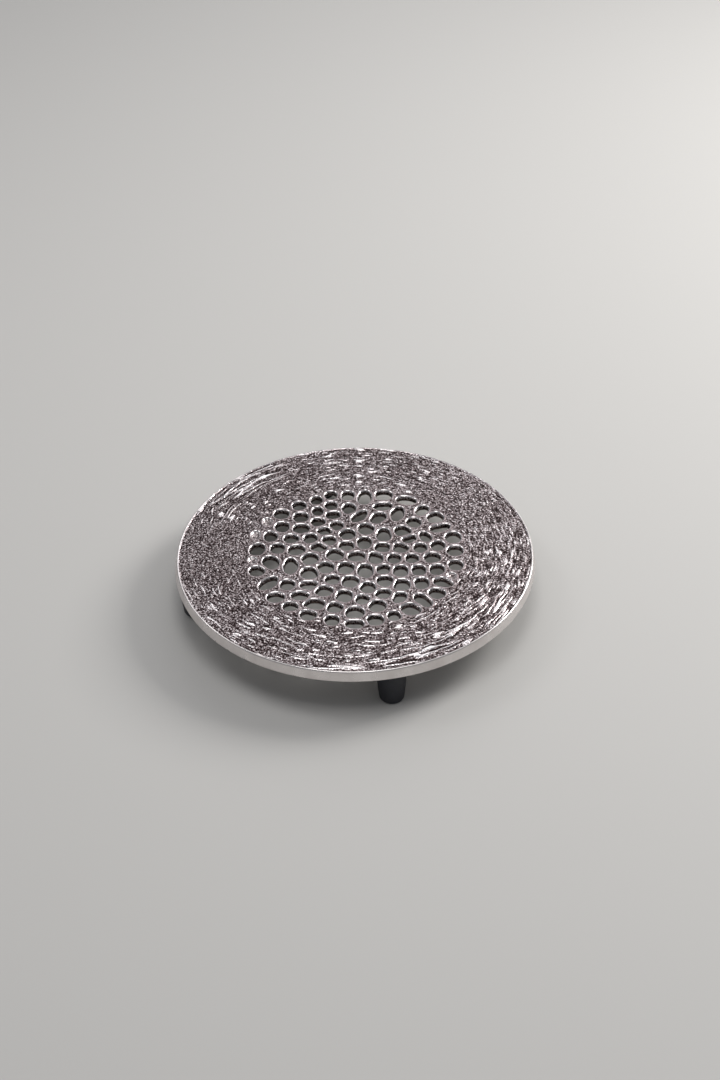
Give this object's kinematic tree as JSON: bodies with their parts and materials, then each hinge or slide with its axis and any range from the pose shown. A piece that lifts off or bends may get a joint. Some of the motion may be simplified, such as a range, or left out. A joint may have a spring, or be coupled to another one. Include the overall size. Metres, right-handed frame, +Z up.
{
  "type": "trivet",
  "caption": "Round trivet of rough cast metal with a pierced centre of irregular rounded holes, standing on tapered black rubber feet.",
  "frame": {"origin": "centre of the bounding box's bottom, on the table under the plate's middle", "axes": "+Z up out of the top face, +X to the right and +Y away from the viewer of the picture"},
  "size_m": [0.205, 0.205, 0.0275],
  "materials": {
    "plate": "rough cast, antique nickel plated, dark in the hollows",
    "rubber": "matt black moulded rubber",
    "steel": "zinc plated"
  },
  "bodies": {
    "root": {"top_plate": "plate", "foot_right": "rubber", "foot_back": "rubber", "foot_left": "rubber", "foot_front": "rubber", "washer_right": "steel", "washer_back": "steel", "washer_left": "steel", "washer_front": "steel", "screw_right": "steel", "screw_back": "steel", "screw_left": "steel", "screw_front": "steel"}
  },
  "joints": []
}
